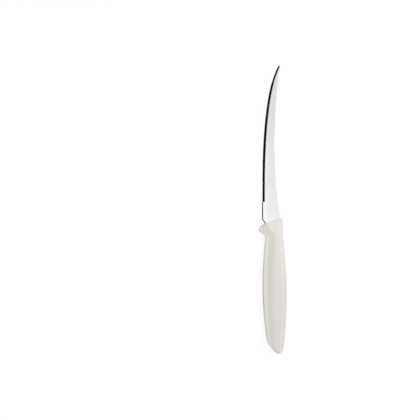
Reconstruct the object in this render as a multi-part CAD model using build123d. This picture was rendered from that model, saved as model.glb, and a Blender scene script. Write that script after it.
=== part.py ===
from build123d import *
import math
import os

# Tomato knife with a moulded handle, lying on its side.
# X runs from the cutting edge to the back of the knife, Y from the butt to the tip and Z up,
# square to the blade's flat. Until the last step X is taken from the handle's long axis,
# Y from the place where that axis leaves the plastic, and Z from the middle of the blade.

# Blade stamping, in plan
blade_length = 127.2        # visible blade, on the handle's axis
blade_thickness = 1.2
edge_drop = 9.8             # tips of the teeth at the heel, below the axis
edge_fullness = 0.75        # how far the edge's curve is pulled out ahead of the sweep
edge_lead = 0.6             # the toothed edge's line passes this far outside the tip
tip_rise = 4.1              # tip above the axis
waist_offset = -0.1         # back of the blade where it is slimmest
heel_flare = 5.3            # rise of the back from the waist to the handle
edge_bend_share = 0.25      # where the straight edge starts to bend, along the blade
edge_pull_share = 0.27      # first pull of the bend, along the blade
edge_sweep_share = 0.84     # second pull of the bend, along the blade
waist_share = 0.483         # place of the waist, along the blade

# Unground heel and choil
heel_length = 16.0          # end of the ground edge, ahead of the handle
heel_proud = 0.5            # heel stands this far below the ground edge
choil_top = 0.9             # start of the choil chamfer, ahead of the handle
choil_width = 2.6
choil_height = 3.6
choil_round = 1.2
heel_chamfer_width = 0.4    # chamfer along the heel and choil, on the ground side only
heel_chamfer_depth = 0.4

# Tang, hidden in the handle
shoulder_depth = 6.0        # full-width blade below the bolster face
shoulder_slope = 3.0        # length over which the shoulders narrow to the tang
tang_width = 8.0
tang_length = 62.0          # from the bolster face to the end of the tang
tang_round = 1.5
anchor_hole = 4.0
anchor_first = 10.0         # shoulder to the middle of the first anchor hole
anchor_spacing = 26.0
anchor_count = 2

# Ground edge: one bevel with a row of small gullets, then a plain bevel at the tip
edge_land = 0.15            # thickness left at the cutting edge
bevel_width = 1.5
tooth_pitch = 1.2
gullet_width = 0.96
gullet_depth = 0.24
tip_grind_length = 13.6
tip_step = 0.3              # the plain edge at the tip lies this far inside the toothed one
tip_bevel_width = 1.2
tip_bulge = 0.65

# Handle moulding, in plan
handle_length = 109.7       # bolster face on the axis to the butt's lowest point
belly_reach = 10.15         # widest point on the finger side
back_reach = 10.15          # widest point on the back
guard_reach = 12.9          # nose of the finger guard
guard_depth = 11.0          # finger corner of the bolster face to the root of the guard
bolster_reach = 6.65        # corner of the bolster face on the back
bolster_slant = 4.05        # slope of the bolster face from back to finger side
choil_cover = 8.0           # corner of the bolster face on the finger side

# Handle moulding, in section
handle_thickness = 13.5
shelf_drop = 1.9            # finger scoop below the flat land, at its deepest
scoop_slope = 42.0          # steepest slope of the scoop's wall, in degrees
bolster_round = 0.8
butt_round = 2.0
row_ribs = 3                # ribs to each row of the table, at most
rib_step = 1.0              # and no closer than this
round_ribs = 4              # ribs in each rounded end
rib_gap = 0.1               # ribs closer than this are left out
rim_share = 0.55            # fullness of the rounded rims
land_share = 0.78           # end of the flat land, across the rib
shelf_share = 0.36          # middle of the finger shelf between rim and crease
wall_share = 0.28           # length of the scoop's wall under the crease

# Ribs of the handle. The finger end's reach and place along, the back end's reach and place
# along, the crease across the rib, and the scoop's depth and slope.
guard_rib_shares = (
    (0.589, 0.00, 1.00, 0.00, 0.26, 0.00, 0.00),
    (0.865, 0.17, 1.00, 0.12, 0.28, 0.00, 0.00),
    (1.000, 0.40, 1.01, 0.30, 0.31, 0.10, 0.12),
    (0.960, 0.61, 1.02, 0.52, 0.36, 0.55, 0.43),
    (0.790, 0.78, 1.03, 0.74, 0.41, 0.85, 0.81),
    (0.655, 0.91, 1.04, 0.96, 0.48, 1.00, 1.00),
)
grip_rib_shares = (
    (0.793, 0.132, 0.700, 0.118, 0.600, 0.95, 0.90),
    (0.818, 0.175, 0.762, 0.172, 0.586, 0.80, 0.71),
    (0.916, 0.270, 0.850, 0.270, 0.580, 0.60, 0.50),
    (1.000, 0.530, 0.998, 0.530, 0.560, 0.35, 0.26),
    (0.800, 0.798, 0.890, 0.805, 0.545, 0.30, 0.20),
    (0.680, 0.875, 0.826, 0.893, 0.540, 0.28, 0.18),
    (0.610, 0.906, 0.760, 0.943, 0.535, 0.26, 0.16),
    (0.500, 0.929, 0.690, 0.968, 0.530, 0.25, 0.15),
    (0.384, 0.943, 0.590, 0.986, 0.530, 0.24, 0.14),
    (0.217, 0.961, 0.490, 0.999, 0.530, 0.23, 0.13),
    (0.010, 0.981, 0.310, 1.000, 0.530, 0.22, 0.12),
)

# One overrun for every cutter
overrun = 3.0


def plan(x, y, z=0.0):
    """A point of the knife."""
    return Vector(x, y, z)


def slab(edges, thickness):
    """A plate of even thickness about the blade's middle, from its outline in plan."""
    face = make_face(Curve() + edges)
    return extrude(face, amount=thickness / 2, dir=(0, 0, 1), both=True)


# Blade: a plate with a straight chamfered heel, an edge that sweeps up to the tip, and a back that dips
# to a waist and rises again on both sides of it.
tip = plan(tip_rise, blade_length)
waist = plan(waist_offset, blade_length * waist_share)
bend = plan(-edge_drop, blade_length * edge_bend_share)
heel_line = -edge_drop - heel_proud
choil_end = plan(heel_line + choil_width, choil_top - choil_height)
heel_corner = plan(heel_line, choil_top)
heel_end = plan(heel_line, bend.Y)

heel_side = FilletPolyline(choil_end, heel_corner, heel_end, radius=choil_round)
edge_curve = Bezier(
    bend,
    plan(-edge_drop, blade_length * edge_pull_share),
    plan(-edge_drop - edge_fullness, blade_length * edge_sweep_share),
    tip - plan(edge_lead, 0),
)
back_to_tip = Bezier(waist, plan(waist_offset, (waist.Y + blade_length) / 2), tip)
back_to_heel = Bezier(
    waist, plan(waist_offset, waist.Y / 2), plan(waist_offset + heel_flare, 0)
)


def blank():
    """The stamping before it is ground, with its tang and anchor holes."""
    spread = plan(-heel_proud, 0)
    flare_end = back_to_heel @ 1
    shoulder = -shoulder_depth
    tang_top = shoulder - shoulder_slope
    half = tang_width / 2
    outline = [
        heel_side,
        edge_curve.moved(Location(spread)),
        Line(edge_curve @ 1 + spread, tip),
        back_to_tip,
        back_to_heel,
        Polyline(
            flare_end,
            plan(flare_end.X, shoulder),
            plan(half, tang_top),
            plan(half, -tang_length),
            plan(-half, -tang_length),
            plan(-half, tang_top),
            plan(choil_end.X, shoulder),
            choil_end,
        ),
    ]
    plate = slab(outline, blade_thickness)
    uprights = plate.edges().filter_by(Axis.Z)
    plate = fillet(uprights.sort_by(Axis.Y)[:2], tang_round)
    for number in range(anchor_count):
        hole = Cylinder(anchor_hole / 2, blade_thickness + overrun)
        plate -= Pos(0, tang_top - anchor_first - number * anchor_spacing, 0) * hole
    return plate


def bevel_cutter(edges, width, depth):
    """What a wheel takes off along an edge: all outside it, and above its bevel inside it."""
    half = blade_thickness / 2
    lift = (overrun / width) * depth
    start = edges[0] @ 0
    along = edges[0] % 0
    inward = Vector(along.Y, -along.X, 0)
    end = edges[-1] @ 1
    run_out = Edge.make_line(end, end + (edges[-1] % 1) * overrun)
    corners = [
        (-overrun, -half - overrun),
        (0, -half - overrun),
        (0, half - depth),
        (width + overrun, half + lift),
        (-overrun, half + lift),
    ]
    wire = Wire.make_polygon([start + inward * inset + plan(0, 0, z) for inset, z in corners])
    return Solid.sweep(wire, Wire([*edges, run_out]))


def gullets(path, length):
    """A row of small round flutes across the bevel, square to the edge."""
    slope = math.atan2(blade_thickness - edge_land, bevel_width)
    radius = (gullet_width**2 / 4 + gullet_depth**2) / (2 * gullet_depth)
    reach = bevel_width + 2 * overrun
    foot_height = plan(0, 0, -blade_thickness / 2 + edge_land)
    flutes = []
    for number in range(int(length / tooth_pitch)):
        place = (number + 0.5) * tooth_pitch
        foot = path.position_at(place, PositionMode.LENGTH) + foot_height
        along = path.tangent_at(place, PositionMode.LENGTH)
        inward = Vector(along.Y, -along.X, 0)
        up_bevel = inward * math.cos(slope) + plan(0, 0, math.sin(slope))
        outward = inward * -math.sin(slope) + plan(0, 0, math.cos(slope))
        start = foot + outward * (radius - gullet_depth) - up_bevel * overrun
        flutes.append(Solid.make_cylinder(radius, reach, Plane(start, z_dir=up_bevel)))
    return flutes


def point_at(curve, y):
    """The point of a rising curve at one height, by halving."""
    low, high = 0.0, 1.0
    for _ in range(40):
        middle = (low + high) / 2
        if (curve @ middle).Y < y:
            low = middle
        else:
            high = middle
    return curve @ low


def blade():
    """The ground blade: bevel, plain tip and teeth cut from the blank."""
    heel_run = Edge.make_line(plan(-edge_drop, heel_length), bend)
    jog = point_at(edge_curve, blade_length - tip_grind_length)
    tip_edge = SagittaArc(jog + plan(tip_step, 0), tip, tip_bulge)
    depth = blade_thickness - edge_land
    ground = blank() - bevel_cutter([heel_run, edge_curve], bevel_width, depth)
    ground -= bevel_cutter([tip_edge], tip_bevel_width, depth)
    ground -= bevel_cutter(heel_side.edges(), heel_chamfer_width, heel_chamfer_depth)
    path = Wire([heel_run, edge_curve])
    return ground.cut(*gullets(path, path.length - tip_grind_length - tooth_pitch))


# Handle: ribs that fan from the slanted bolster face to the slanted butt. Each rib is given
# by its two ends in plan, the crease where the finger scoop starts, and the scoop itself.
def rib(finger, back, crease, scoop, slope, inset, drop):
    """One closed section of the handle in the upright plane through its two ends, drawn in at
    each end by the inset and lowered by the drop."""
    margin = (back - finger).normalized() * inset
    finger = finger + margin
    span = back - margin - finger
    height = handle_thickness / 2 - drop
    shelf = height - shelf_drop * scoop
    wall = crease * wall_share
    wall_foot = height - wall * span.length * math.tan(math.radians(scoop_slope * slope))
    back_width = 1 - land_share
    finger_side = [
        (0, 0),
        (0, shelf * rim_share),
        (crease * shelf_share, shelf),
        (crease - wall, wall_foot),
        (crease, height),
    ]
    back_side = [
        (land_share, height),
        (land_share + back_width * rim_share, height),
        (1, height * rim_share),
        (1, 0),
    ]
    edges = []
    for side in (1, -1):
        lower = [finger + span * share + plan(0, 0, side * z) for share, z in finger_side]
        upper = [finger + span * share + plan(0, 0, side * z) for share, z in back_side]
        edges.append(Edge.make_bezier(*lower))
        edges.append(Edge.make_line(lower[-1], upper[0]))
        edges.append(Edge.make_bezier(*upper))
    return Wire(edges)


def rows():
    """The table in real sizes: finger end, back end, and crease, scoop and slope as one point."""
    rise = bolster_slant * bolster_reach / (bolster_reach + choil_cover)
    found = []
    for reach, along, back, back_along, *shape in guard_rib_shares:
        finger_end = plan(-guard_reach * reach, rise - bolster_slant - guard_depth * along)
        back_end = plan(bolster_reach * back, rise - guard_depth * back_along)
        found.append((finger_end, back_end, plan(*shape)))
    for reach, along, back, back_along, *shape in grip_rib_shares:
        finger_end = plan(-belly_reach * reach, -handle_length * along)
        back_end = plan(back_reach * back, -handle_length * back_along)
        found.append((finger_end, back_end, plan(*shape)))
    return found


def smooth(knots, points, place):
    """A curve through the points; at each its direction is that of the arc through three."""
    last = len(knots) - 1
    secants = [
        (points[n + 1] - points[n]) * (1 / (knots[n + 1] - knots[n])) for n in range(last)
    ]

    def direction(n):
        before, after = secants[max(n - 1, 0)], secants[min(n, last - 1)]
        ahead = knots[min(n + 1, last)] - knots[n]
        behind = knots[n] - knots[max(n - 1, 0)]
        return (before * ahead + after * behind) * (1 / (ahead + behind))

    n = max(number for number in range(last) if knots[number] <= place)
    step = knots[n + 1] - knots[n]
    t = (place - knots[n]) / step
    eased = t * t * (3 - 2 * t)
    leaving = direction(n) * (step * t * (1 - t) ** 2)
    arriving = direction(n + 1) * (step * t * t * (1 - t))
    return points[n] * (1 - eased) + points[n + 1] * eased + leaving - arriving


def drawn_in(radius, distance):
    """How far a rounded end is drawn in, at a distance from the end."""
    short = max(radius - distance, 0)
    return radius - math.sqrt(radius**2 - short**2)


def ribs():
    """Every rib of the handle: some to each row of the table, and more in the rounded ends."""
    fingers, backs, shapes = zip(*rows())
    middles = [(finger + back) * 0.5 for finger, back in zip(fingers, backs)]
    knots = [0.0]
    for start, end in zip(middles, middles[1:]):
        knots.append(knots[-1] + (end - start).length)
    length = knots[-1]
    places = []
    for start, end in zip(knots, knots[1:]):
        count = min(row_ribs, math.ceil((end - start) / rib_step))
        places += [start + (end - start) * n / count for n in range(count)]
    for n in range(round_ribs + 1):
        share = 1 - math.cos(math.pi / 2 * n / round_ribs)
        places += [bolster_round * share, length - butt_round * share]
    places.sort()
    sections = []
    for place, following in zip(places, places[1:] + [length + rib_gap]):
        if following - place < rib_gap:
            continue
        shape = smooth(knots, shapes, place)
        inset = drawn_in(bolster_round, place)
        drop = inset + drawn_in(butt_round, length - place)
        ends = smooth(knots, fingers, place), smooth(knots, backs, place)
        scoop = max(shape.Y, 0), max(shape.Z, 0)
        sections.append(rib(*ends, shape.X, *scoop, inset, drop))
    return sections


def in_a_land(face):
    """Whether a face has all its corners at the height of a flat land."""
    height = handle_thickness / 2
    return all(math.isclose(abs(v.Z), height, rel_tol=1e-6) for v in face.vertices())


def handle(steel):
    """The moulding: ruled from rib to rib with true flat lands, closed tightly round the tang."""
    loft = Solid.make_loft(ribs(), ruled=True)
    faces = [Face(face.outer_wire()) if in_a_land(face) else face for face in loft.faces()]
    return Solid(Shell(faces)) - steel


# The knife rests on the land of its lower side, with its origin under the middle of its box.
steel = blade()
grip = handle(steel)
box = Compound([steel, grip]).bounding_box()
place = Pos(-box.center().X, -box.center().Y, -box.min.Z)

os.makedirs("parts", exist_ok=True)
for name, piece in (("blade", steel), ("handle", grip)):
    export_step(place * piece, f"parts/{name}.step")
    print(name, piece.is_valid, round(piece.volume, 1))
print("box of the knife", box.size)
print("move to the origin", place.position)
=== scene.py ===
from math import comb

import bpy
import numpy as np
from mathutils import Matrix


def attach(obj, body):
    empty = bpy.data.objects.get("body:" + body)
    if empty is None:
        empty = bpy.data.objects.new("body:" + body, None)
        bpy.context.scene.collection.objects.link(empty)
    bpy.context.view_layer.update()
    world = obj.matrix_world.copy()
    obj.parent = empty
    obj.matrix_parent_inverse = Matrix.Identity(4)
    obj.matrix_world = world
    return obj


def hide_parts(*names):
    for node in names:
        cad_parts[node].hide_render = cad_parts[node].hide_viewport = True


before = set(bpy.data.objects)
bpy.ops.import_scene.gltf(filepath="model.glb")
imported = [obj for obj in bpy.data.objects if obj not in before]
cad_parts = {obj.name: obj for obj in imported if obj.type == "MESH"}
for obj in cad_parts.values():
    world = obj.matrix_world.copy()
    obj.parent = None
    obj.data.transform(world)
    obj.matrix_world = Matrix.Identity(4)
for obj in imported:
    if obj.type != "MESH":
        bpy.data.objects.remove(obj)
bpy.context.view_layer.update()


# Blade. One stamping of martensitic stainless strip, 1.2 mm thick, satin ground along its
# length. A coarse wheel cuts the bevel and its row of gullets on one face only, and the tang
# is held by the plastic that is shot round it. Its sizes are in millimetres until it is made.
blade_length, blade_half, spine_round, edge_land = 127.2, 0.6, 0.12, 0.15
edge_x, tip_x, heel_x, heel_end = -10.0, 4.4, -10.3, 15.25
heel_chamfer, heel_depth = 0.8, 0.4
choil_x, choil_y, choil_top, choil_round, corner_end = -7.7, -2.7, 0.9, 1.2, 2.0
waist_x, waist_y, flare_x = -0.1, 61.4, 5.2
sweep_share, lift_share, pull_share, sweep_lean, tip_lean = 0.25, 0.27, 0.84, 0.7, 0.9
shoulder_y, tang_y, tang_x, tang_end, tang_round = -6.0, -9.0, 4.0, -62.0, 1.5
tip_bevel, jog_y, jog_step, tip_bulge, tip_blunt = 1.6, 113.6, 0.2, 0.42, 1.2
bevel_places, bevel_runs = (25.0, 55.0, 100.0, 113.6), (1.8, 1.95, 1.85, 1.7)
tooth_pitch, gullet_width, gullet_depth, toothless = 1.2, 0.96, 0.2, 0.8
hair, tip_end, least_width, least_land, widest_share = 0.002, 0.02, 0.004, 0.01, 0.98
chamfer_fade, chamfer_left, crisp_angle = 0.3, 0.05, np.radians(22)
blade_place = np.array((1.41186, -8.75467, 6.75))


def bezier(*controls):
    """A Bezier curve's points: its controls weighed by the Bernstein polynomials."""
    t, order = np.linspace(0, 1, 1500)[:, None], len(controls) - 1
    weights = [comb(order, n) * t**n * (1 - t) ** (order - n) for n in range(order + 1)]
    return np.hstack(weights) @ np.array(controls, float)


def x_at(line, y):
    """Where a rising line of points crosses each y."""
    return np.interp(y, line[:, 1], line[:, 0])


def drawn_in(radius, distance):
    """How far a round end is drawn in: the radius less the leg of its right triangle."""
    short = np.clip(radius - distance, 0, None)
    return radius - np.sqrt(radius**2 - short**2)


def edge_line(y):
    """The finger side: tang, shoulder, choil, rounded heel corner, heel, toothed sweep and tip."""
    lean = np.arctan2(choil_x - heel_x, choil_top - choil_y)
    turn = np.linspace(np.pi + lean, np.pi, 12)
    corner = choil_round * np.stack([1 + np.cos(turn), np.tan(lean / 2) + np.sin(turn)], axis=1)
    low = np.vstack([
        (-tang_x, tang_end), (-tang_x, tang_y), (choil_x, shoulder_y), (choil_x, choil_y),
        corner + (heel_x, choil_top), (heel_x, heel_end),
    ])
    sweep = bezier(
        (edge_x, blade_length * sweep_share), (edge_x, blade_length * lift_share),
        (edge_x - sweep_lean, blade_length * pull_share), (tip_x - tip_lean, blade_length),
    )
    jog = np.array((x_at(sweep, jog_y) + jog_step, jog_y))
    tip = np.array((tip_x - tip_blunt, blade_length))
    outward = np.array((jog[1] - tip[1], tip[0] - jog[0])) / np.linalg.norm(tip - jog)
    plain = bezier(jog, (jog + tip) / 2 + 2 * tip_bulge * outward, tip)
    toothed = np.where(y < sweep[0, 1], edge_x, x_at(sweep, y))
    return np.select([y < heel_end, y < jog_y], [x_at(low, y), toothed], x_at(plain, y))


def back_line(y):
    """The back: tang, shoulder, flare that narrows to the waist, and the rise to the tip."""
    low = np.array([(tang_x, tang_end), (tang_x, tang_y), (flare_x, shoulder_y), (flare_x, 0)])
    flare = bezier((flare_x, 0), (waist_x, waist_y / 2), (waist_x, waist_y))
    halfway = (waist_y + blade_length) / 2
    rise = bezier((waist_x, waist_y), (waist_x, halfway), (tip_x, blade_length))
    return np.select([y < 0, y < waist_y], [x_at(low, y), x_at(flare, y)], x_at(rise, y))


# The rings stand closest where the gullets are, and each step of the edge takes one hair.
y = np.concatenate([
    tang_end + tang_round * (1 - np.cos(np.linspace(0, np.pi / 2, 7))),
    np.linspace(tang_end + tang_round, choil_y, 40)[1:],
    np.linspace(choil_y, corner_end, 40)[1:],
    np.linspace(corner_end, heel_end - hair, 40)[1:],
    np.linspace(heel_end, jog_y - hair, 1160),
    np.linspace(jog_y, blade_length - tip_end, 120),
])
tang_cut = drawn_in(tang_round, y - tang_end)
left, right = edge_line(y) + tang_cut, back_line(y) - tang_cut
room = np.clip(right - left, least_width, None)
steps = np.diff(left)
steps[np.abs(steps) >= jog_step] = 0
along = np.concatenate([[0], np.cumsum(np.hypot(np.diff(y), steps))])
smooth_left = np.concatenate([[0], np.cumsum(steps)])
heel_slant = np.hypot(1, np.gradient(smooth_left, y))

# The wheel's bevel rises inwards from the land. A gullet is a flute of round section up the
# bevel, which shifts the bevel inwards by the flute's depth over the sine of its slope.
# On the unground heel the land is the stamped flank, and a small chamfer breaks its corner.
toothed, plain_tip = (y >= heel_end) & (y < jog_y), y >= jog_y
toothed_run = np.interp(y, bevel_places, bevel_runs)
chamfer_share = np.interp(y, (choil_y - chamfer_fade, choil_y), (chamfer_left, 1.0))
heel_run = heel_chamfer * heel_slant * chamfer_share
run = np.select([toothed, plain_tip], [toothed_run, tip_bevel], heel_run)
heel_land = 2 * blade_half - heel_depth * chamfer_share
land = np.where(toothed | plain_tip, edge_land, heel_land)
climb = (2 * blade_half - land) / run
pitches = (along - np.interp(heel_end, y, along)) / tooth_pitch
off_middle = np.abs(pitches % 1 - 0.5) * tooth_pitch
gullet_radius = (gullet_width**2 / 4 + gullet_depth**2) / (2 * gullet_depth)
flute = np.sqrt(np.clip(gullet_radius**2 - off_middle**2, 0, None)) - gullet_radius + gullet_depth
flute = np.where(toothed & (y < jog_y - toothless), np.clip(flute, 0, None), 0)
notch = np.minimum(flute * np.hypot(1, climb) / climb, room / 2)
foot_x = np.clip(notch - land / climb, 0, None)
foot_z = np.clip(land - notch * climb, least_land, None)
top_x = np.minimum(run + notch, widest_share * room)
top_z = land + (top_x - notch) * climb
corner = np.minimum(np.minimum(spine_round, (room - top_x) / 2), top_z / 3)
inner = room - corner
base = np.zeros(len(y))


def between(start, end, shares):
    """Each row from its start to its end by the shares."""
    return start[:, None] + (end - start)[:, None] * shares


share, turn = np.linspace(0, 1, 9), np.linspace(0, np.pi / 2, 6)
across = np.hstack([
    foot_x[:, None], between(foot_x, top_x, share), between(top_x, inner, share[1:]),
    between(inner, room, np.sin(turn[1:])), between(inner, room, np.cos(turn)),
    between(inner, foot_x, share[1:-1]),
])
up = np.hstack([
    base[:, None], between(foot_z, top_z, share), between(top_z, top_z, share[1:]),
    between(top_z - corner, top_z, np.cos(turn[1:])), between(corner, base, np.sin(turn)),
    between(base, base, share[1:-1]),
])
ring_y = np.broadcast_to(y[:, None], across.shape)
shape = np.stack([left[:, None] + across, ring_y, up - blade_half], axis=-1)
shape = (shape[::-1] + blade_place) / 1000


def closed_tube(name, grid, half):
    """A closed skin: the grid's rows are rings, joined ring to ring by four-cornered faces,
    and each end is ruled from the upper to the lower half of its ring."""
    count, around = grid.shape[:2]
    rings = np.arange(count * around).reshape(count, around)
    following = np.roll(rings, -1, axis=1)
    sides = np.stack([rings[:-1], rings[1:], following[1:], following[:-1]], axis=-1)
    upper = np.arange(half + 1)
    lower = (around - upper) % around
    lower[-1] = half
    corners = np.stack([upper[:-1], upper[1:], lower[1:], lower[:-1]], axis=-1)
    caps = np.vstack([rings[0][corners], rings[-1][corners[:, ::-1]]])
    mesh = bpy.data.meshes.new(name)
    faces = [list(dict.fromkeys(face)) for face in caps.tolist()]
    faces += sides.reshape(-1, 4).tolist()
    mesh.from_pydata(grid.reshape(-1, 3).tolist(), [], faces)
    mesh.update()
    mesh.shade_smooth()
    made = bpy.data.objects.new(name, mesh)
    bpy.context.scene.collection.objects.link(made)
    return made


blade = closed_tube("ground_blade", shape, shape.shape[1] // 2)
blade.data.set_sharp_from_angle(angle=crisp_angle)


def node(tree, kind, inputs=None, **settings):
    """Adds one node, sets what it is told, and links or fills the inputs it is given."""
    made = tree.nodes.new(kind)
    for name, value in settings.items():
        setattr(made, name, value)
    for name, value in (inputs or {}).items():
        if isinstance(value, bpy.types.NodeSocket):
            tree.links.new(value, made.inputs[name])
        else:
            made.inputs[name].default_value = value
    return made


def blended(tree, factor, low, high):
    """A colour that goes from low to high as the factor goes from 0 to 1."""
    return node(tree, "ShaderNodeMix", {0: factor, 6: low, 7: high}, data_type="RGBA").outputs[2]


def ranged(tree, value, start, end, low=0.0, high=1.0):
    """The value's range from start to end, laid out from low to high and clamped there."""
    inputs = {"Value": value, "From Min": start, "From Max": end, "To Min": low, "To Max": high}
    return node(tree, "ShaderNodeMapRange", inputs).outputs[0]


def counted(tree, operation, *values):
    """One step of arithmetic on the values."""
    inputs = dict(enumerate(values))
    return node(tree, "ShaderNodeMath", inputs, operation=operation).outputs[0]


# The grain that both materials use is one node group: noise on stretched coordinates.
grain = bpy.data.node_groups.new("grain", "ShaderNodeTree")
for socket, kind in (
    ("Where", "NodeSocketVector"), ("Stretch", "NodeSocketVector"),
    ("Scale", "NodeSocketFloat"), ("Detail", "NodeSocketFloat"),
):
    grain.interface.new_socket(name=socket, in_out="INPUT", socket_type=kind)
grain.interface.new_socket(name="Grain", in_out="OUTPUT", socket_type="NodeSocketFloat")
given = node(grain, "NodeGroupInput").outputs
drawn = node(grain, "ShaderNodeMapping", {"Vector": given["Where"], "Scale": given["Stretch"]})
noise = node(grain, "ShaderNodeTexNoise", {
    "Vector": drawn.outputs[0], "Scale": given["Scale"], "Detail": given["Detail"], "Roughness": 0.6,
})
node(grain, "NodeGroupOutput", {"Grain": noise.outputs["Fac"]})


def grained(tree, where, scale, stretch=(1.0, 1.0, 1.0), detail=3.0):
    """The grain group, placed in a material with its own values."""
    inputs = {"Where": where, "Stretch": stretch, "Scale": scale, "Detail": detail}
    return node(tree, "ShaderNodeGroup", inputs, node_tree=grain).outputs["Grain"]


def new_material(name):
    """An empty material, its tree, its surface shader and the object's coordinates."""
    material = bpy.data.materials.new(name)
    material.use_nodes = True
    tree = material.node_tree
    tree.nodes.clear()
    surface = tree.nodes.new("ShaderNodeBsdfPrincipled")
    output = tree.nodes.new("ShaderNodeOutputMaterial")
    tree.links.new(surface.outputs[0], output.inputs["Surface"])
    where = node(tree, "ShaderNodeTexCoord").outputs["Object"]
    return material, tree, surface, where


def add_bump(tree, surface, height, distance):
    """Raises the surface by the height, where 1 stands for the distance in metres."""
    bump = node(tree, "ShaderNodeBump", {"Height": height, "Distance": distance})
    tree.links.new(bump.outputs[0], surface.inputs["Normal"])


satin_steel, tree, surface, where = new_material("satin_steel")
normal = node(tree, "ShaderNodeNewGeometry").outputs["True Normal"]
facing = node(tree, "ShaderNodeSeparateXYZ", {0: normal}).outputs
on_flat = ranged(tree, counted(tree, "ABSOLUTE", facing["Z"]), 0.955, 0.985)
leans_out = ranged(tree, facing["X"], -0.12, -0.2)
on_bevel = counted(tree, "MULTIPLY", leans_out, ranged(tree, facing["Z"], 0.1, 0.35))
place = node(tree, "ShaderNodeSeparateXYZ", {0: where}).outputs
fine_draw = grained(tree, where, 7000.0, (1.0, 0.012, 1.0))
broad_draw = grained(tree, where, 900.0, (1.0, 0.03, 1.0))
drift = grained(tree, where, 60.0, (1.0, 0.5, 1.0))
wheel_marks = grained(tree, where, 6000.0, (0.05, 1.0, 1.0))
near, far, painted_highlight = (0.895, 0.895, 0.885, 1), (0.775, 0.775, 0.76, 1), (0.97, 0.97, 0.96, 1)
# Painted reflection: the flat is lighter near the heel and darker towards the tip.
flat_tone = blended(tree, ranged(tree, place["Y"], 0.015, 0.08), near, far)
# Painted highlight: a bright strip on the flat along the bevel's shoulder.
highlight_beside_edge = ranged(tree, place["X"], -0.0030, -0.0064, 0.0, 0.95)
flat_tone = blended(tree, highlight_beside_edge, flat_tone, painted_highlight)
# Painted highlight: the flat grows lighter just in front of the bolster.
highlight_near_bolster = ranged(tree, place["Y"], -0.0015, -0.0075, 0.0, 0.8)
flat_tone = blended(tree, highlight_near_bolster, flat_tone, painted_highlight)
streaks = counted(tree, "MULTIPLY_ADD", drift, 0.5, broad_draw)
streaks = ranged(tree, streaks, 0.5, 1.0, 0.0, 0.4)
flat_tone = blended(tree, streaks, flat_tone, (0.70, 0.70, 0.685, 1))
# The bevel's near-black is partly its coarse grind and partly a painted dark reflection.
bevel_tone = blended(tree, wheel_marks, (0.002, 0.002, 0.0022, 1), (0.012, 0.012, 0.012, 1))
side_tone = blended(tree, fine_draw, (0.50, 0.50, 0.49, 1), (0.68, 0.68, 0.67, 1))
ground_tone = blended(tree, on_bevel, side_tone, bevel_tone)
tree.links.new(blended(tree, on_flat, ground_tone, flat_tone), surface.inputs["Base Color"])
marks = node(
    tree, "ShaderNodeMix", {0: on_flat, 2: wheel_marks, 3: fine_draw}, data_type="FLOAT"
).outputs[0]
tree.links.new(ranged(tree, marks, 0.3, 0.7, 0.24, 0.36), surface.inputs["Roughness"])
add_bump(tree, surface, marks, 0.000008)
surface.inputs["Metallic"].default_value = 1.0
blade.data.materials.append(satin_steel)

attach(blade, "root")
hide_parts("blade")


# Handle. One polypropylene moulding, 13.5 mm thick, shot round the tang in a two-part mould.
# It has a finger guard, a scoop for the finger that runs out along the grip, and a flat land.
belly_reach, back_reach, guard_reach = 0.0099, 0.01015, 0.0129
bolster_reach, bolster_slant, choil_cover, guard_depth = 0.00665, 0.00405, 0.008, 0.011
handle_length, handle_thickness = 0.1097, 0.0135
shelf_drop, scoop_slope = 0.0031, np.radians(24.0)
bolster_round, butt_round, guard_round = 0.0008, 0.002, 0.0018
inset_share, guard_share = 0.35, 0.4
rim_width, land_end, rim_power, back_power = 0.10, 0.77, 3.2, 2.1
front_dip, dip_peak, dip_reach = 0.0015, 0.15, 0.006
axis_x, bolster_y, middle_z = 0.00141186, -0.00875467, handle_thickness / 2

# The handle's ribs: the finger end's reach and place along, the back end's reach and place
# along, the crease across the rib, and the scoop's depth and slope.
guard_ribs = np.array([
    (0.589, 0.00, 1.00, 0.00, 0.30, 0.70, 0.30),
    (0.865, 0.17, 1.00, 0.12, 0.33, 0.88, 0.50),
    (1.000, 0.40, 1.01, 0.30, 0.38, 1.06, 0.80),
    (0.960, 0.61, 1.02, 0.52, 0.43, 1.16, 1.00),
    (0.790, 0.78, 1.03, 0.74, 0.47, 1.17, 1.05),
    (0.655, 0.91, 1.04, 0.96, 0.52, 1.11, 1.05),
])
grip_ribs = np.array([
    (0.793, 0.132, 0.700, 0.118, 0.595, 1.01, 0.95),
    (0.818, 0.175, 0.762, 0.172, 0.590, 0.94, 0.70),
    (0.916, 0.270, 0.850, 0.270, 0.585, 0.84, 0.35),
    (1.000, 0.530, 0.998, 0.530, 0.560, 0.68, 0.10),
    (0.800, 0.798, 0.890, 0.805, 0.545, 0.46, 0.05),
    (0.680, 0.875, 0.826, 0.893, 0.540, 0.40, 0.03),
    (0.610, 0.906, 0.760, 0.943, 0.535, 0.36, 0.00),
    (0.500, 0.929, 0.690, 0.968, 0.530, 0.33, 0.00),
    (0.384, 0.943, 0.590, 0.986, 0.530, 0.30, 0.00),
    (0.217, 0.961, 0.490, 0.999, 0.530, 0.27, 0.00),
    (0.010, 0.981, 0.310, 1.000, 0.530, 0.24, 0.00),
])


def smooth(knots, values, places):
    """Cubic through the values. The slope at a knot is that of the parabola through three."""
    steps = np.diff(knots)[:, None]
    secants = np.diff(values, axis=0) / steps
    slopes = np.vstack([
        secants[:1],
        (secants[:-1] * steps[1:] + secants[1:] * steps[:-1]) / (steps[1:] + steps[:-1]),
        secants[-1:],
    ])
    n = np.clip(np.searchsorted(knots, places, side="right") - 1, 0, len(knots) - 2)
    step = steps[n]
    t = (places - knots[n])[:, None] / step
    eased = t * t * (3 - 2 * t)
    bend = step * (slopes[n] * t * (1 - t) ** 2 - slopes[n + 1] * t * t * (1 - t))
    return values[n] * (1 - eased) + values[n + 1] * eased + bend


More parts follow.
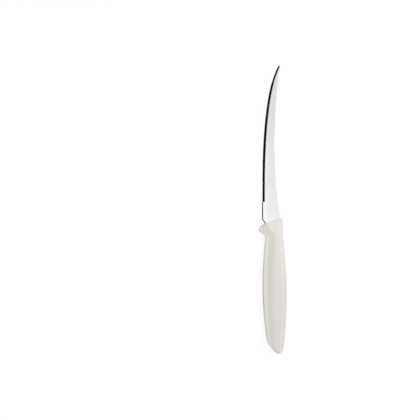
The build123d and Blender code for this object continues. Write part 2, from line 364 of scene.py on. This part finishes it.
rise = bolster_slant * bolster_reach / (bolster_reach + choil_cover)
reach, along, back, back_along = guard_ribs[:, :4].T
guard_ends = np.stack([
    -guard_reach * reach, rise - bolster_slant - guard_depth * along,
    bolster_reach * back, rise - guard_depth * back_along,
], axis=1)
reach, along, back, back_along = grip_ribs[:, :4].T
grip_ends = np.stack([
    -belly_reach * reach, -handle_length * along,
    back_reach * back, -handle_length * back_along,
], axis=1)
rails = np.vstack([guard_ends, grip_ends])
table = np.hstack([rails, np.vstack([guard_ribs, grip_ribs])[:, 4:]])
middles = (rails[:, :2] + rails[:, 2:]) / 2
knots = np.concatenate([[0], np.cumsum(np.linalg.norm(np.diff(middles, axis=0), axis=1))])
length = knots[-1]

quarter = 1 - np.cos(np.linspace(0, np.pi / 2, 13))
places = np.concatenate([
    bolster_round * quarter,
    np.linspace(bolster_round, length - butt_round, 340)[1:-1],
    length - butt_round * quarter[::-1],
])
rows = smooth(knots, table, places)
inset = drawn_in(bolster_round, places)[:, None]
drop = inset[:, 0] + drawn_in(butt_round, length - places)
finger, end = rows[:, :2], rows[:, 2:4]
inward = (end - finger) / np.linalg.norm(end - finger, axis=1, keepdims=True)
finger, end = finger + inward * inset * inset_share, end - inward * inset
width = np.linalg.norm(end - finger, axis=1, keepdims=True)
crease, scoop, slope = (np.clip(rows[:, n : n + 1], 0, None) for n in (4, 5, 6))
height = (middle_z - drop)[:, None]
shelf = height - shelf_drop * scoop

# The scoop's wall is straight in the guard. Along the grip it starts further in and grows
# an S shape that is steepest near its foot.
wall_lean = np.interp(places, (0.017, 0.034), (1.0, 1.45))[:, None]
wall_start = np.interp(places, (0.013, 0.024), (0.10, 0.17))[:, None]
wall_ramp = np.interp(places, (0.013, 0.020), (0.9, 0.3))[:, None]


def round_rim(power, count):
    """A quarter of a superellipse by its angle: how far in and how far up, as shares."""
    angle = np.linspace(0, np.pi / 2, count)
    return 1 - np.cos(angle) ** (2 / power), np.sin(angle) ** (2 / power)


def eased_wall(share, end_slope):
    """Rises from 0 to 1 as a cubic that leaves level and arrives at its end slope."""
    return share**2 * (3 - 2 * share) - end_slope * share**2 * (1 - share)


rim_in, rim_up = round_rim(rim_power, 26)
back_in, back_up = round_rim(back_power, 36)
shelf_s = rim_width + (crease - rim_width) * np.linspace(0, 1, 56)[1:]
wall_share = 1 - np.clip(1 - (shelf_s - wall_start) / (crease - wall_start), 0, 1) ** wall_lean
rise_run = (height - shelf) / ((crease - wall_start) * width)
end_slope = np.tan(scoop_slope * slope) / np.maximum(rise_run, 1e-6)
wall_rise = eased_wall(wall_share, end_slope)
wall = shelf + (height - shelf) * (wall_rise + (wall_share - wall_rise) * wall_ramp)
land_s = crease + (land_end - crease) * np.linspace(0, 1, 16)[1:-1]
across = np.hstack([
    np.repeat(rim_width * rim_in[None], len(places), axis=0),
    shelf_s,
    land_s,
    np.repeat(1 - (1 - land_end) * back_in[None, ::-1], len(places), axis=0),
])
up = np.hstack([
    shelf * rim_up, wall, np.repeat(height, land_s.shape[1], axis=1), height * back_up[None, ::-1],
])

# The guard's nose is rounder in front than the rest of the bolster, and beside the guard
# the bolster's front line dips by a share times its falling exponential.
lead = drawn_in(guard_round, places) - drawn_in(bolster_round, places)
up *= 1 - (lead / (middle_z - drop))[:, None] * np.clip(1 - across / guard_share, 0, 1)
across = np.hstack([across, across[:, -2:0:-1]])
up = np.hstack([up, -up[:, -2:0:-1]])
shape = np.empty(across.shape + (3,))
shape[..., :2] = finger[:, None] + (end - finger)[:, None] * across[..., None]
shape[..., 2] = up
share = across / dip_peak
fade = np.clip(1 - places / dip_reach, 0, None) ** 2
shape[..., 1] -= front_dip * share * np.exp(1 - share) * fade[:, None]
shape += (axis_x, bolster_y, middle_z)

handle = closed_tube("handle_moulding", shape, shape.shape[1] // 2)

moulded_plastic, tree, surface, where = new_material("moulded_plastic")
mottle = grained(tree, where, 90.0)
speck = grained(tree, where, 2600.0, detail=2.0)
sink = grained(tree, where, 140.0, detail=1.0)
along_handle = node(tree, "ShaderNodeSeparateXYZ", {0: where}).outputs["Y"]
tone = blended(tree, mottle, (0.712, 0.684, 0.652, 1), (0.74, 0.714, 0.682, 1))
# Painted light: the plastic's colour grows lighter towards the guard.
painted_light_near_guard = ranged(tree, along_handle, -0.075, -0.02, 0.0, 0.8)
tone = blended(tree, painted_light_near_guard, tone, (0.83, 0.80, 0.74, 1))
tone = blended(tree, ranged(tree, speck, 0.6, 0.75, 0.0, 0.25), tone, (0.66, 0.63, 0.59, 1))
tree.links.new(tone, surface.inputs["Base Color"])
tree.links.new(ranged(tree, mottle, 0.3, 0.7, 0.36, 0.46), surface.inputs["Roughness"])
relief = counted(tree, "MULTIPLY_ADD", sink, 8.0, speck)
add_bump(tree, surface, relief, 0.000006)
handle.data.materials.append(moulded_plastic)

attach(handle, "root")
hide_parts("handle")


# Studio. A pale floor that looks white to the lens and to the steel, a soft sky that is
# brightest overhead, a large lamp from the side of the knife's back, and a long lens
# straight above.
def seen_directly(tree):
    """1 where the camera, a shiny surface or clear matter looks, and 0 where light is gathered."""
    path = node(tree, "ShaderNodeLightPath").outputs
    seen = counted(tree, "MAXIMUM", path["Is Camera Ray"], path["Is Glossy Ray"])
    return counted(tree, "MAXIMUM", seen, path["Is Transmission Ray"])


floor_mesh = bpy.data.meshes.new("floor")
floor_mesh.from_pydata([(-6, -6, 0), (6, -6, 0), (6, 6, 0), (-6, 6, 0)], [], [(0, 1, 2, 3)])
floor = bpy.data.objects.new("floor", floor_mesh)
bpy.context.scene.collection.objects.link(floor)
pale_floor = bpy.data.materials.new("pale_floor")
pale_floor.use_nodes = True
tree = pale_floor.node_tree
tree.nodes.clear()
matt = node(tree, "ShaderNodeBsdfDiffuse", {"Color": (0.8, 0.8, 0.8, 1)})
dim = node(tree, "ShaderNodeBsdfDiffuse", {"Color": (0.24, 0.24, 0.24, 1)})
lift = node(tree, "ShaderNodeEmission", {"Color": (1, 1, 1, 1), "Strength": 0.83})
lifted = node(tree, "ShaderNodeAddShader", {0: dim.outputs[0], 1: lift.outputs[0]})
shown = {0: seen_directly(tree), 1: matt.outputs[0], 2: lifted.outputs[0]}
mixed = node(tree, "ShaderNodeMixShader", shown)
node(tree, "ShaderNodeOutputMaterial", {"Surface": mixed.outputs[0]})
floor_mesh.materials.append(pale_floor)

world = bpy.data.worlds.new("soft_light")
bpy.context.scene.world = world
world.use_nodes = True
tree = world.node_tree
tree.nodes.clear()
direction = node(tree, "ShaderNodeTexCoord").outputs["Generated"]
direction = node(tree, "ShaderNodeSeparateXYZ", {0: direction}).outputs
light = counted(tree, "MULTIPLY_ADD", direction["Y"], 0.05, 0.29)
light = counted(tree, "MULTIPLY_ADD", direction["Z"], 0.55, light)
backdrop = node(tree, "ShaderNodeBackground", {"Color": (1, 1, 1, 1), "Strength": 1.0})
glow = node(tree, "ShaderNodeBackground", {"Color": (1, 1, 1, 1), "Strength": light})
shown = {0: seen_directly(tree), 1: glow.outputs[0], 2: backdrop.outputs[0]}
mixed = node(tree, "ShaderNodeMixShader", shown)
node(tree, "ShaderNodeOutputWorld", {"Surface": mixed.outputs[0]})

lamp_side, lamp_along, lamp_height = 0.24, -0.04, 0.42
lamp_data = bpy.data.lights.new("overhead", "AREA")
lamp_data.shape = "RECTANGLE"
lamp_data.size, lamp_data.size_y = 0.3, 0.4
lamp_data.energy = 0.96
lamp = bpy.data.objects.new("overhead", lamp_data)
lamp.location = (lamp_side, lamp_along, lamp_height)
lamp.rotation_euler = (0.0, np.arctan2(lamp_side, lamp_height), 0.0)
lamp.visible_camera = lamp.visible_glossy = False
bpy.context.scene.collection.objects.link(lamp)

lens = bpy.data.cameras.new("long_lens")
lens.sensor_width = 36.0
distance, frame_width = 4.0, 0.34524
lens.lens = lens.sensor_width * (distance - middle_z) / frame_width
lens.clip_start, lens.clip_end = 0.1, 50.0
camera = bpy.data.objects.new("long_lens", lens)
camera.location = (-0.05165, -0.00012, distance)
bpy.context.scene.collection.objects.link(camera)
bpy.context.scene.camera = camera
bpy.context.scene.view_settings.view_transform = "Standard"
